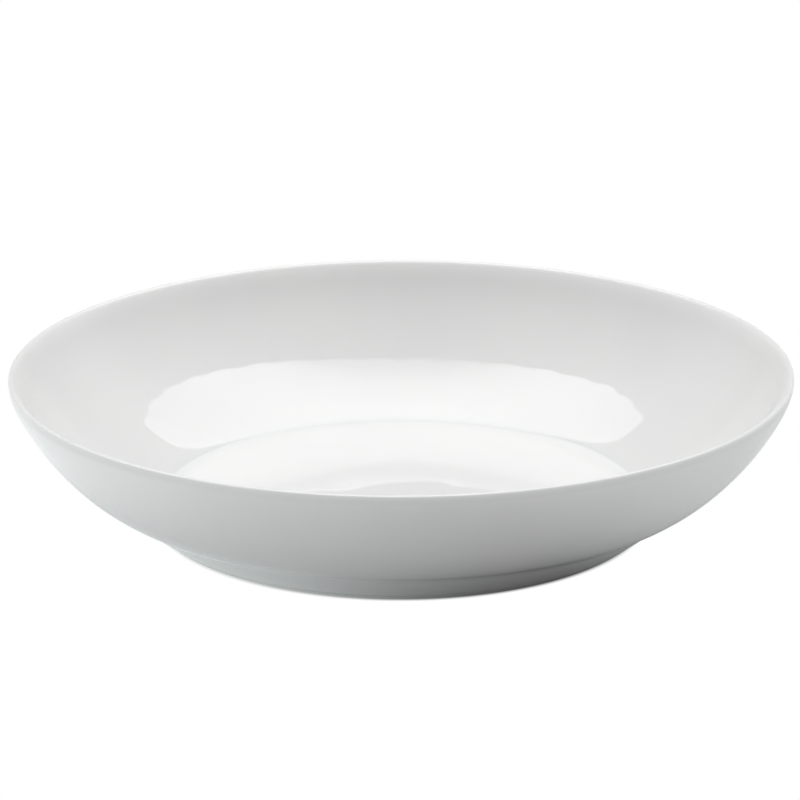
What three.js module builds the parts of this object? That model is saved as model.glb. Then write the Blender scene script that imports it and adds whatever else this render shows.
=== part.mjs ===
// A deep plate of white glazed porcelain: a round bowl with a flat well and a curved wall, on a low foot
// ring. Millimetres, +Z up. The origin is the centre of the circle that the plate stands on.
import * as THREE from "three";

// Driving dimensions of the whole plate
const rimDiameter = 240;
const plateHeight = 47.4;
const segments = 96;

// Driving dimensions of the foot ring
const footDiameter = 151.4;
const standingWidth = 3.2;
const footRingHeight = 1.8;
const recessDraft = 1.6;

// Driving dimensions of the bowl: the crease is where the flared foot ends and the wall begins, and the
// middle of the base rises a little above its edge, inside and underneath
const creaseDiameter = 180;
const creaseHeight = 10.9;
const creaseThickness = 3.0;
const wellDiameter = 147.6;
const baseThickness = 4.0;
const baseRise = 1.4;
const baseSteps = 3;
const lipThickness = 3.2;
const lipSteps = 6;

// The outer face leaves the crease, and the inner face the well, at these slopes, in degrees from level. The
// inner face sweeps up into the wall over two lengths, one before and one after the turn
const outerSlope = 24;
const wellSlope = 13.5;
const sweepBefore = 4.3;
const sweepAfter = 7.0;
const sweepSteps = 5;

// Each face of the wall is a curve whose pull at its two ends is a share of the straight line between them
const outerFace = { startPull: 0.41, endPull: 0.1, steps: 10 };
const innerFace = { startPull: 0.668, endPull: 0.035, steps: 12 };

const footRadius = footDiameter / 2;
const standingInside = footRadius - standingWidth;
const recessRadius = standingInside - recessDraft;
const crease = new THREE.Vector2(creaseDiameter / 2, creaseHeight);
const wellEdge = new THREE.Vector2(wellDiameter / 2, footRingHeight + baseThickness);
const lipRadius = lipThickness / 2;
const lipCentre = new THREE.Vector2(rimDiameter / 2 - lipRadius, plateHeight - lipRadius);

// Radius of the flared side of the foot at a height, on the straight line from the table to the crease
function flareRadius(height) {
  return footRadius + ((crease.x - footRadius) * height) / crease.y;
}

// Direction that rises outwards at a slope
function rising(slope) {
  const angle = THREE.MathUtils.degToRad(slope);
  return new THREE.Vector2(Math.cos(angle), Math.sin(angle));
}

// Point that lies a length away from another, in a direction
function along(start, direction, length) {
  return direction.clone().multiplyScalar(length).add(start);
}

// Curve of one face of the wall: it sets out in a direction and reaches the lip upright
function wallCurve(start, direction, end, { startPull, endPull }) {
  const chord = start.distanceTo(end);
  const startHandle = along(start, direction, startPull * chord);
  const endHandle = new THREE.Vector2(end.x, end.y - endPull * chord);
  return new THREE.CubicBezierCurve(start, startHandle, endHandle, end);
}

// Points of the base's slightly domed section, from its middle to its edge
function domedSection(edgeRadius, edgeHeight) {
  const points = [];
  for (let step = 0; step <= baseSteps; step += 1) {
    const share = step / baseSteps;
    points.push(new THREE.Vector2(edgeRadius * share, edgeHeight + baseRise * (1 - share * share)));
  }
  return points;
}

// Points of the bowl's profile, from the middle of its underside round the lip to the middle of the well.
// The inner face turns towards a point that lies the wall's thickness above the crease
function bowlProfile() {
  const outerStart = rising(outerSlope);
  const outerNormal = new THREE.Vector2(-outerStart.y, outerStart.x);
  const aboveCrease = along(crease, outerNormal, creaseThickness);
  const turn = along(wellEdge, rising(wellSlope), sweepBefore);
  const innerStart = aboveCrease.sub(turn).normalize();
  const wallStart = along(turn, innerStart, sweepAfter);
  const lipOutside = new THREE.Vector2(lipCentre.x + lipRadius, lipCentre.y);
  const lipInside = new THREE.Vector2(lipCentre.x - lipRadius, lipCentre.y);

  const underside = domedSection(recessRadius, footRingHeight);
  const seatEdge = new THREE.Vector2(flareRadius(footRingHeight), footRingHeight);
  const outside = wallCurve(crease, outerStart, lipOutside, outerFace).getPoints(outerFace.steps);
  const lip = new THREE.ArcCurve(lipCentre.x, lipCentre.y, lipRadius, 0, Math.PI).getPoints(lipSteps);
  const inside = wallCurve(wallStart, innerStart, lipInside, innerFace).getPoints(innerFace.steps).reverse();
  const sweep = new THREE.QuadraticBezierCurve(wallStart, turn, wellEdge).getPoints(sweepSteps);
  const well = domedSection(wellEdge.x, wellEdge.y).reverse();
  const inner = [...inside, ...sweep.slice(1, -1), ...well];
  return [...underside, seatEdge, ...outside, ...lip.slice(1, -1), ...inner];
}

// Points of the foot ring's section: the standing face, the flared side, the seat under the bowl and
// the drafted side of the recess
function footRingProfile() {
  return [
    new THREE.Vector2(standingInside, 0),
    new THREE.Vector2(footRadius, 0),
    new THREE.Vector2(flareRadius(footRingHeight), footRingHeight),
    new THREE.Vector2(recessRadius, footRingHeight),
    new THREE.Vector2(standingInside, 0),
  ];
}

// A piece turned about the plate's axis
function turned(name, profile, material) {
  const geometry = new THREE.LatheGeometry(profile, segments);
  geometry.rotateX(Math.PI / 2);
  const mesh = new THREE.Mesh(geometry, material);
  mesh.name = name;
  return mesh;
}

const whiteGlaze = new THREE.MeshStandardMaterial({ color: 0xf3f3f1, roughness: 0.12, metalness: 0 });
const footGlaze = new THREE.MeshStandardMaterial({ color: 0xeeeeeb, roughness: 0.2, metalness: 0 });

const deepPlate = new THREE.Group();
deepPlate.add(turned("bowl", bowlProfile(), whiteGlaze));
deepPlate.add(turned("foot_ring", footRingProfile(), footGlaze));

export default deepPlate;
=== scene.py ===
import math

import bpy
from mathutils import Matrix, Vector
from mathutils.geometry import interpolate_bezier


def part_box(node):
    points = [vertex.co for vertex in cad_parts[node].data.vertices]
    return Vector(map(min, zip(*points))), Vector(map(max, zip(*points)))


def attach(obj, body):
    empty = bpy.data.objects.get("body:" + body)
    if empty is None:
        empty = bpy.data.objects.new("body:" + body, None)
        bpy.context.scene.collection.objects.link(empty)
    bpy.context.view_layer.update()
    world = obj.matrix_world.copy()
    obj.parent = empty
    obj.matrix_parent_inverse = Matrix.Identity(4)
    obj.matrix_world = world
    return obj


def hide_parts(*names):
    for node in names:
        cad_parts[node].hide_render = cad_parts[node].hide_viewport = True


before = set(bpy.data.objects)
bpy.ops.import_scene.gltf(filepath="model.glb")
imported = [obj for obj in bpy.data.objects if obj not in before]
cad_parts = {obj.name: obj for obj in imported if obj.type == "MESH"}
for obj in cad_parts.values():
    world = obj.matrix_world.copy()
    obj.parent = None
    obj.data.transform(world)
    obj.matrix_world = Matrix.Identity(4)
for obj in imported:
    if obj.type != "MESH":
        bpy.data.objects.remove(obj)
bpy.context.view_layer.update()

# Bowl: the well, the curved wall and the rounded lip in one body of white porcelain under a clear glaze.
# It is pressed and turned as one round profile, so it is drawn as a profile and spun about its axis. The
# lip is tight outside and gently rounded inside, and the middle of the well has sunk a little.
bowl_low, bowl_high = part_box("bowl")
rim_radius = bowl_high[0]
rim_height = bowl_high[2]
seat_height = bowl_low[2]
seat_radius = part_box("foot_ring")[1][0]
crease = Vector((0.090, 0, 0.0109))
crease_thickness = 0.003
crease_arm = 0.0035
outer_slope = math.radians(24)
outer_pull = 0.41
outer_end_pull = 0.1
inner_pull = 0.668
inner_end_pull = 0.035
well_edge = Vector((0.0738, 0, 0.0058))
well_slope = math.radians(13.5)
sweep_before = 0.0043
sweep_after = 0.007
base_rise = 0.0014
hollow_radius = 0.034
hollow_depth = 0.00052
lip_radius = 0.0016
lip_turn = math.radians(161)
outer_rounding = 0.001
inner_rounding = 0.0045
recess_radius = 0.0709
edge_rounding = 0.0005
wave_depth = 0.0001
wave_grain = 0.03
smooth_angle = math.radians(35)
round_steps = 256


def at(radius, height):
    """A point of a profile, in the plane of the X axis and the plate's axis."""
    return Vector((radius, 0, height))


def rising(slope):
    """The direction that rises outwards at a slope."""
    return at(math.cos(slope), math.sin(slope))


def domed(edge, steps=10):
    """The base's section from its middle to its edge, a little higher in the middle."""
    shares = [step / steps for step in range(steps + 1)]
    return [at(edge.x * share, edge.z + base_rise * (1 - share * share)) for share in shares]


def hollowed(points):
    """A section of the base whose middle has sunk a little in the firing."""
    shares = [min(point.x / hollow_radius, 1) for point in points]
    return [
        point - at(0, hollow_depth * (1 - share * share) ** 2)
        for point, share in zip(points, shares)
    ]


def bend(start, corner, end, steps):
    """A soft bend from one point to another, round a corner that it doesn't reach."""
    start_handle = start.lerp(corner, 2 / 3)
    end_handle = end.lerp(corner, 2 / 3)
    return interpolate_bezier(start, start_handle, end_handle, end, steps)


def wall_face(start, start_pull, end, end_pull, steps):
    """One face of the wall, given its two ends and the pull, with its direction, at each of them."""
    chord = (end - start).length
    return interpolate_bezier(start, start + start_pull * chord, end - end_pull * chord, end, steps)


def turned(name, profile):
    """A closed piece made by drawing its profile point by point and spinning it about the Z axis."""
    bpy.ops.object.select_all(action="DESELECT")
    bpy.ops.mesh.primitive_plane_add(size=rim_radius)
    piece = bpy.context.object
    piece.name = name
    piece.data.name = name
    bpy.ops.object.mode_set(mode="EDIT")
    bpy.ops.mesh.select_mode(type="VERT")
    bpy.ops.mesh.select_all(action="SELECT")
    bpy.ops.mesh.merge(type="CENTER")
    bpy.ops.transform.translate(value=profile[0])
    for here, there in zip(profile, profile[1:]):
        bpy.ops.mesh.extrude_region_move(TRANSFORM_OT_translate={"value": there - here})
    bpy.ops.mesh.select_all(action="SELECT")
    bpy.ops.mesh.spin(steps=round_steps, angle=math.tau, center=(0, 0, 0), axis=(0, 0, 1))
    bpy.ops.mesh.select_all(action="SELECT")
    bpy.ops.mesh.remove_doubles(threshold=1e-6)
    bpy.ops.mesh.normals_make_consistent(inside=False)
    bpy.ops.object.mode_set(mode="OBJECT")
    return piece


def soften_circle(piece, corner, width, segments=4):
    """Rounds the edge of a piece that runs round its axis through one point of its profile."""
    near = 1e-5
    mesh = piece.data
    bpy.ops.object.mode_set(mode="EDIT")
    bpy.ops.mesh.select_mode(type="EDGE")
    bpy.ops.mesh.select_all(action="DESELECT")
    bpy.ops.object.mode_set(mode="OBJECT")
    on_circle = [
        abs(math.hypot(v.co.x, v.co.y) - corner.x) < near and abs(v.co.z - corner.z) < near
        for v in mesh.vertices
    ]
    for edge in mesh.edges:
        edge.select = all(on_circle[index] for index in edge.vertices)
    bpy.ops.object.mode_set(mode="EDIT")
    bpy.ops.mesh.bevel(offset=width, segments=segments, affect="EDGES")
    bpy.ops.object.mode_set(mode="OBJECT")


def uneven(piece, depth, grain):
    """Lets a piece's faces wander inwards a little, as fired porcelain does."""
    waves = bpy.data.textures.new(piece.name + "_waves", "CLOUDS")
    waves.noise_scale = grain
    modifier = piece.modifiers.new("firing_waves", "DISPLACE")
    modifier.texture = waves
    modifier.texture_coords = "LOCAL"
    modifier.strength = depth
    modifier.mid_level = 1
    bpy.ops.object.modifier_apply(modifier=modifier.name)


lip_centre = at(rim_radius - lip_radius, rim_height - lip_radius)
lip_outside = lip_centre + at(lip_radius, 0)
lip_inside = lip_centre + rising(lip_turn) * lip_radius
lip_edge = at(rim_radius, rim_height)
lip_top = lip_edge - at(outer_rounding, 0)
outer_lip = bend(lip_edge - at(0, outer_rounding), lip_edge, lip_top, 8)
above_crease = crease + rising(outer_slope + math.pi / 2) * crease_thickness
turn = well_edge + rising(well_slope) * sweep_before
inner_start = (above_crease - turn).normalized()
wall_start = turn + inner_start * sweep_after
outer_start = rising(outer_slope)
upright = rising(math.pi / 2)
outside = wall_face(crease, outer_start * outer_pull, lip_outside, upright * outer_end_pull, 32)
into_lip = rising(lip_turn - math.pi / 2)
inside = wall_face(wall_start, inner_start * inner_pull, lip_inside, into_lip * inner_end_pull, 40)
inner_wall = [point for point in inside if point.z < rim_height - inner_rounding]
upwards = (inner_wall[-1] - inner_wall[-2]).normalized()
lip_corner = inner_wall[-1] + upwards * (rim_height - inner_wall[-1].z) / upwards.z
inner_lip = bend(lip_top, lip_corner, inner_wall[-1], 16)
sweep = bend(wall_start, turn, well_edge, 16)
seat_edge = at(seat_radius, seat_height)
below_crease = crease + (seat_edge - crease).normalized() * crease_arm
crease_bend = bend(below_crease, crease, outside[2], 10)
bowl = turned("bowl_porcelain", [
    *domed(at(recess_radius, seat_height)),
    seat_edge,
    *crease_bend,
    *outside[3:],
    *outer_lip,
    *inner_lip[1:-1],
    *reversed(inner_wall),
    *sweep[1:-1],
    *reversed(hollowed(domed(well_edge, steps=48))),
])
soften_circle(bowl, well_edge, width=edge_rounding)
uneven(bowl, depth=wave_depth, grain=wave_grain)
bpy.ops.object.shade_smooth_by_angle(angle=smooth_angle)

# The glaze's look: faint clouds in the white, a cooler tint where it pools in the well's corner, a painted
# highlight along the lip, a faint painted shade under it outside, a softer gloss near the rim, and very
# slight waves
glaze_ior = 1.7
relief_depth = 0.00003
glaze_look = bpy.data.node_groups.new("porcelain_glaze", "ShaderNodeTree")
glaze_look.interface.new_socket("Colour", in_out="OUTPUT", socket_type="NodeSocketColor")
glaze_look.interface.new_socket("Roughness", in_out="OUTPUT", socket_type="NodeSocketFloat")
glaze_look.interface.new_socket("Height", in_out="OUTPUT", socket_type="NodeSocketFloat")
nodes = glaze_look.nodes
links = glaze_look.links


def noise(scale, detail):
    """A soft noise over the piece, about half on average."""
    texture = nodes.new("ShaderNodeTexNoise")
    texture.inputs["Scale"].default_value = scale
    texture.inputs["Detail"].default_value = detail
    links.new(place.outputs["Object"], texture.inputs["Vector"])
    return texture.outputs["Fac"]


def ramp(value, low, high, result_low, result_high):
    """A value taken from one range to another with soft ends."""
    mapped = nodes.new("ShaderNodeMapRange")
    mapped.interpolation_type = "SMOOTHSTEP"
    mapped.inputs["From Min"].default_value = low
    mapped.inputs["From Max"].default_value = high
    mapped.inputs["To Min"].default_value = result_low
    mapped.inputs["To Max"].default_value = result_high
    links.new(value, mapped.inputs["Value"])
    return mapped.outputs["Result"]


def combined(operation, first, second):
    """Two values, or a value and a number, put together by a mathematical operation."""
    maths = nodes.new("ShaderNodeMath")
    maths.operation = operation
    for value, socket in zip((first, second), maths.inputs):
        if isinstance(value, float):
            socket.default_value = value
        else:
            links.new(value, socket)
    return maths.outputs["Value"]


def tinted(amount, first, second):
    """A colour that goes from the first to the second by an amount."""
    mix = nodes.new("ShaderNodeMix")
    mix.data_type = "RGBA"
    links.new(amount, mix.inputs["Factor"])
    for colour, socket in zip((first, second), (mix.inputs["A"], mix.inputs["B"])):
        if isinstance(colour, tuple):
            socket.default_value = (*colour, 1)
        else:
            links.new(colour, socket)
    return mix.outputs["Result"]


place = nodes.new("ShaderNodeTexCoord")
flat = nodes.new("ShaderNodeVectorMath")
flat.operation = "MULTIPLY"
flat.inputs[1].default_value = (1, 1, 0)
links.new(place.outputs["Object"], flat.inputs[0])
reach = nodes.new("ShaderNodeVectorMath")
reach.operation = "LENGTH"
links.new(flat.outputs["Vector"], reach.inputs[0])
height = nodes.new("ShaderNodeSeparateXYZ")
links.new(place.outputs["Object"], height.inputs["Vector"])
section = nodes.new("ShaderNodeCombineXYZ")
links.new(reach.outputs["Value"], section.inputs["X"])
links.new(height.outputs["Z"], section.inputs["Z"])
from_corner = nodes.new("ShaderNodeVectorMath")
from_corner.operation = "DISTANCE"
from_corner.inputs[1].default_value = well_edge
links.new(section.outputs["Vector"], from_corner.inputs[0])
pooled = ramp(from_corner.outputs["Value"], 0.0005, 0.004, 1, 0)
# Painted highlight: the colour is paler along the top of the lip
painted_highlight_on_lip = ramp(height.outputs["Z"], rim_height - 0.0016, rim_height - 0.0004, 0, 1)
outside_lip = ramp(reach.outputs["Value"], rim_radius - 0.003, rim_radius - 0.0015, 0, 1)
below_lip = ramp(height.outputs["Z"], rim_height - 0.0034, rim_height - 0.002, 0, 1)
# Painted shade: the colour is darker in a band on the outside just under the lip
painted_shade_under_lip = combined("MULTIPLY", outside_lip, below_lip)
clouds = ramp(noise(18, 3), 0.3, 0.7, 0, 1)
white = tinted(clouds, (0.79, 0.795, 0.79), (0.81, 0.813, 0.806))
white = tinted(pooled, white, (0.782, 0.794, 0.792))
white = tinted(painted_shade_under_lip, white, (0.77, 0.774, 0.768))
white = tinted(painted_highlight_on_lip, white, (0.83, 0.833, 0.827))
polish = ramp(noise(40, 2), 0.3, 0.7, 0.02, 0.035)
softer = ramp(height.outputs["Z"], rim_height - 0.012, rim_height - 0.006, 0, 0.2)
gloss = combined("ADD", polish, softer)
waves = noise(70, 1)
peel = combined("MULTIPLY", noise(700, 0), 0.04)
group_output = nodes.new("NodeGroupOutput")
links.new(white, group_output.inputs["Colour"])
links.new(gloss, group_output.inputs["Roughness"])
links.new(combined("ADD", waves, peel), group_output.inputs["Height"])

glaze = bpy.data.materials.new("white_glaze")
glaze.use_nodes = True
nodes = glaze.node_tree.nodes
links = glaze.node_tree.links
look = nodes.new("ShaderNodeGroup")
look.node_tree = glaze_look
surface = nodes["Principled BSDF"]
surface.inputs["IOR"].default_value = glaze_ior
relief = nodes.new("ShaderNodeBump")
relief.inputs["Strength"].default_value = 1
relief.inputs["Distance"].default_value = relief_depth
links.new(look.outputs["Colour"], surface.inputs["Base Color"])
links.new(look.outputs["Roughness"], surface.inputs["Roughness"])
links.new(look.outputs["Height"], relief.inputs["Height"])
links.new(relief.outputs["Normal"], surface.inputs["Normal"])
bowl.data.materials.append(glaze)
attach(bowl, "root")
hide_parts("bowl")

# Foot ring: the low ring under the base that the plate stands on, of the same porcelain. It is turned
# with the bowl, glazed on its sides, and its standing face is wiped bare and ground flat.
foot_radius = 0.0757
standing_width = 0.0032
standing_inside = foot_radius - standing_width
foot_ring = turned("foot_ring_porcelain", [
    at(standing_inside, 0),
    at(foot_radius, 0),
    at(seat_radius, seat_height),
    at(recess_radius, seat_height),
    at(standing_inside, 0),
])
soften_circle(foot_ring, at(foot_radius, 0), width=edge_rounding)
soften_circle(foot_ring, at(standing_inside, 0), width=edge_rounding)
uneven(foot_ring, depth=wave_depth, grain=wave_grain)
bpy.ops.object.shade_smooth_by_angle(angle=smooth_angle)

# The foot's glaze is the bowl's, down to a bare band that is ground matt in rings on the standing face
foot_glaze = bpy.data.materials.new("foot_glaze")
foot_glaze.use_nodes = True
nodes = foot_glaze.node_tree.nodes
links = foot_glaze.node_tree.links
look = nodes.new("ShaderNodeGroup")
look.node_tree = glaze_look
place = nodes.new("ShaderNodeTexCoord")
height = nodes.new("ShaderNodeSeparateXYZ")
links.new(place.outputs["Object"], height.inputs["Vector"])
wavy_edge = combined("MULTIPLY", noise(60, 2), 0.0002)
bare = ramp(combined("SUBTRACT", height.outputs["Z"], wavy_edge), 0.0001, 0.0002, 1, 0)
rings = nodes.new("ShaderNodeTexWave")
rings.wave_type = "RINGS"
rings.rings_direction = "Z"
rings.inputs["Scale"].default_value = 900
rings.inputs["Distortion"].default_value = 2
links.new(place.outputs["Object"], rings.inputs["Vector"])
ground = tinted(rings.outputs["Fac"], (0.72, 0.70, 0.66), (0.77, 0.75, 0.71))
surface = nodes["Principled BSDF"]
surface.inputs["IOR"].default_value = glaze_ior
relief = nodes.new("ShaderNodeBump")
relief.inputs["Strength"].default_value = 1
relief.inputs["Distance"].default_value = relief_depth
links.new(tinted(bare, look.outputs["Colour"], ground), surface.inputs["Base Color"])
gloss = combined("MAXIMUM", look.outputs["Roughness"], combined("MULTIPLY", bare, 0.6))
links.new(gloss, surface.inputs["Roughness"])
links.new(look.outputs["Height"], relief.inputs["Height"])
links.new(relief.outputs["Normal"], surface.inputs["Normal"])
foot_ring.data.materials.append(foot_glaze)
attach(foot_ring, "root")
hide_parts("foot_ring")

# Floor: a wide white table top, plain white to the eye and in reflections except close round the foot. It
# gives off some light of its own, painted bounce light from below, least to the right as a painted shadow
# of the plate.
floor_radius = 6
floor_place = (0, 0, -0.0002)
bpy.ops.object.select_all(action="DESELECT")
bpy.ops.mesh.primitive_circle_add(vertices=64, radius=floor_radius, fill_type="NGON", location=floor_place)
floor = bpy.context.object
floor.name = "floor"
floor_paint = bpy.data.materials.new("white_table")
floor_paint.use_nodes = True
nodes = floor_paint.node_tree.nodes
links = floor_paint.node_tree.links
nodes.clear()
place = nodes.new("ShaderNodeTexCoord")
reach = nodes.new("ShaderNodeVectorMath")
reach.operation = "LENGTH"
links.new(place.outputs["Object"], reach.inputs[0])
path = nodes.new("ShaderNodeLightPath")
mirrored = combined("MAXIMUM", path.outputs["Is Glossy Ray"], path.outputs["Is Transmission Ray"])
past_foot = ramp(reach.outputs["Value"], 0.0745, 0.0772, 0, 1)
white_seen = combined("MULTIPLY", path.outputs["Is Camera Ray"], past_foot)
white_mirrored = combined("MULTIPLY", mirrored, ramp(reach.outputs["Value"], 0.09, 0.45, 0, 1))
across = nodes.new("ShaderNodeSeparateXYZ")
links.new(place.outputs["Object"], across.inputs["Vector"])
# Painted light: the table's glow, uneven from left to right and least to the right, where it stands for
# the plate's shade
left_glow = combined(
    "ADD",
    ramp(across.outputs["X"], 0.045, -0.06, 0, 0.23),
    ramp(across.outputs["X"], -0.05, -0.15, 0, 0.355),
)
right_glow = ramp(across.outputs["X"], 0.045, 0.11, 0, 0.28)
near_foot = ramp(reach.outputs["Value"], 0.078, 0.1, 1, 0)
beside_foot = combined(
    "ADD",
    ramp(across.outputs["X"], 0.02, -0.07, 0, 0.2),
    ramp(across.outputs["X"], 0.04, 0.065, 0, 0.02),
)
foot_glow = combined("MULTIPLY", near_foot, beside_foot)
glow = nodes.new("ShaderNodeEmission")
glow.inputs["Color"].default_value = (0.94, 1, 1, 1)
glow_level = combined("ADD", combined("ADD", left_glow, right_glow), foot_glow)
links.new(glow_level, glow.inputs["Strength"])
paint = nodes.new("ShaderNodeBsdfDiffuse")
paint.inputs["Color"].default_value = (0.45, 0.45, 0.45, 1)
lit_paint = nodes.new("ShaderNodeAddShader")
links.new(glow.outputs["Emission"], lit_paint.inputs[0])
links.new(paint.outputs["BSDF"], lit_paint.inputs[1])
white = nodes.new("ShaderNodeEmission")
white.inputs["Strength"].default_value = 1
table_top = nodes.new("ShaderNodeMixShader")
links.new(combined("MAXIMUM", white_seen, white_mirrored), table_top.inputs["Fac"])
links.new(lit_paint.outputs["Shader"], table_top.inputs[1])
links.new(white.outputs["Emission"], table_top.inputs[2])
output = nodes.new("ShaderNodeOutputMaterial")
links.new(table_top.outputs["Shader"], output.inputs["Surface"])
floor.data.materials.append(floor_paint)

# Umbrella: the main light, a round white umbrella high behind the plate, which the glaze mirrors. It is
# brightest above its middle, and a screen cuts off its far side along a straight line.
umbrella_distance = 2.0
umbrella_radius = 1.34
brightest = 2.98
brightest_at = 0.6
brightest_band = 0.15
level_at_rim = 1.72
level_at_screen = 1.7
rib_sag = 0.97
umbrella_elevation = math.radians(61.3)
umbrella_turn = math.radians(2.88)
screen_edge = 0.738
screen_tilt = 0.125
towards_umbrella = Vector((
    math.sin(umbrella_turn) * math.cos(umbrella_elevation),
    math.cos(umbrella_turn) * math.cos(umbrella_elevation),
    math.sin(umbrella_elevation),
))
bpy.ops.object.select_all(action="DESELECT")
bpy.ops.mesh.primitive_circle_add(vertices=72, radius=umbrella_radius, fill_type="NGON")
umbrella = bpy.context.object
umbrella.name = "umbrella"
for between_ribs in list(umbrella.data.vertices)[::3]:
    between_ribs.co *= rib_sag
for vertex in umbrella.data.vertices:
    vertex.co.y = max(vertex.co.y, screen_tilt * vertex.co.x - screen_edge)
umbrella.location = towards_umbrella * umbrella_distance
umbrella.rotation_euler = towards_umbrella.to_track_quat("Z", "Y").to_euler()
umbrella.visible_camera = False
umbrella_cloth = bpy.data.materials.new("lit_cloth")
umbrella_cloth.use_nodes = True
nodes = umbrella_cloth.node_tree.nodes
links = umbrella_cloth.node_tree.links
nodes.clear()
place = nodes.new("ShaderNodeTexCoord")
across = nodes.new("ShaderNodeSeparateXYZ")
links.new(place.outputs["Object"], across.inputs["Vector"])
fade_start = brightest_at + brightest_band
fading_up = ramp(across.outputs["Y"], fade_start, umbrella_radius, brightest, level_at_rim)
fading_down = ramp(across.outputs["Y"], -screen_edge, brightest_at, level_at_screen, brightest)
cloth = nodes.new("ShaderNodeEmission")
links.new(combined("MINIMUM", fading_up, fading_down), cloth.inputs["Strength"])
output = nodes.new("ShaderNodeOutputMaterial")
links.new(cloth.outputs["Emission"], output.inputs["Surface"])
umbrella.data.materials.append(umbrella_cloth)

# Room: a pale room with a lit ceiling, brighter at its two sides than in front and behind.
room_front = 0.347
room_back = 0.355
room_sides = 0.73
room_ceiling = 0.515
room = bpy.data.worlds.new("pale_room")
room.use_nodes = True
bpy.context.scene.world = room
nodes = room.node_tree.nodes
links = room.node_tree.links
direction = nodes.new("ShaderNodeTexCoord")
sideways = nodes.new("ShaderNodeVectorMath")
sideways.operation = "ABSOLUTE"
links.new(direction.outputs["Generated"], sideways.inputs[0])
to_sides = nodes.new("ShaderNodeVectorMath")
to_sides.operation = "DOT_PRODUCT"
to_sides.inputs[1].default_value = (0.94, 0, 0.34)
links.new(sideways.outputs["Vector"], to_sides.inputs[0])
side_light = combined("MULTIPLY", combined("POWER", to_sides.outputs["Value"], 2.0), room_sides)
depth = nodes.new("ShaderNodeSeparateXYZ")
links.new(direction.outputs["Generated"], depth.inputs["Vector"])
front_light = ramp(depth.outputs["Y"], -0.1, -1, 0, room_front)
back_light = ramp(depth.outputs["Y"], 0.1, 0.6, 0, room_back)
top_light = ramp(depth.outputs["Z"], 0.5, 1, 0, room_ceiling)
across_room = combined("ADD", front_light, back_light)
level = combined("ADD", combined("ADD", side_light, top_light), across_room)
links.new(level, nodes["Background"].inputs["Strength"])
nodes["Background"].inputs["Color"].default_value = (1, 1, 1, 1)

# Camera: a long lens, a little above the rim, that frames the plate as in the photograph.
view_target = Vector((0, 0, 0.024))
view_distance = 1.2
view_elevation = math.radians(18.53)
view_roll = math.radians(0.17)
camera_data = bpy.data.cameras.new("camera")
camera_data.lens = 175.1
camera_data.shift_x = -0.0016
camera_data.shift_y = 0.0487
camera = bpy.data.objects.new("camera", camera_data)
towards_camera = Vector((0, -math.cos(view_elevation), math.sin(view_elevation)))
camera.location = view_target + view_distance * towards_camera
camera.rotation_euler = (math.pi / 2 - view_elevation, 0, 0)
camera.rotation_euler.rotate_axis("Z", -view_roll)
bpy.context.collection.objects.link(camera)
bpy.context.scene.camera = camera
bpy.context.scene.view_settings.view_transform = "Standard"
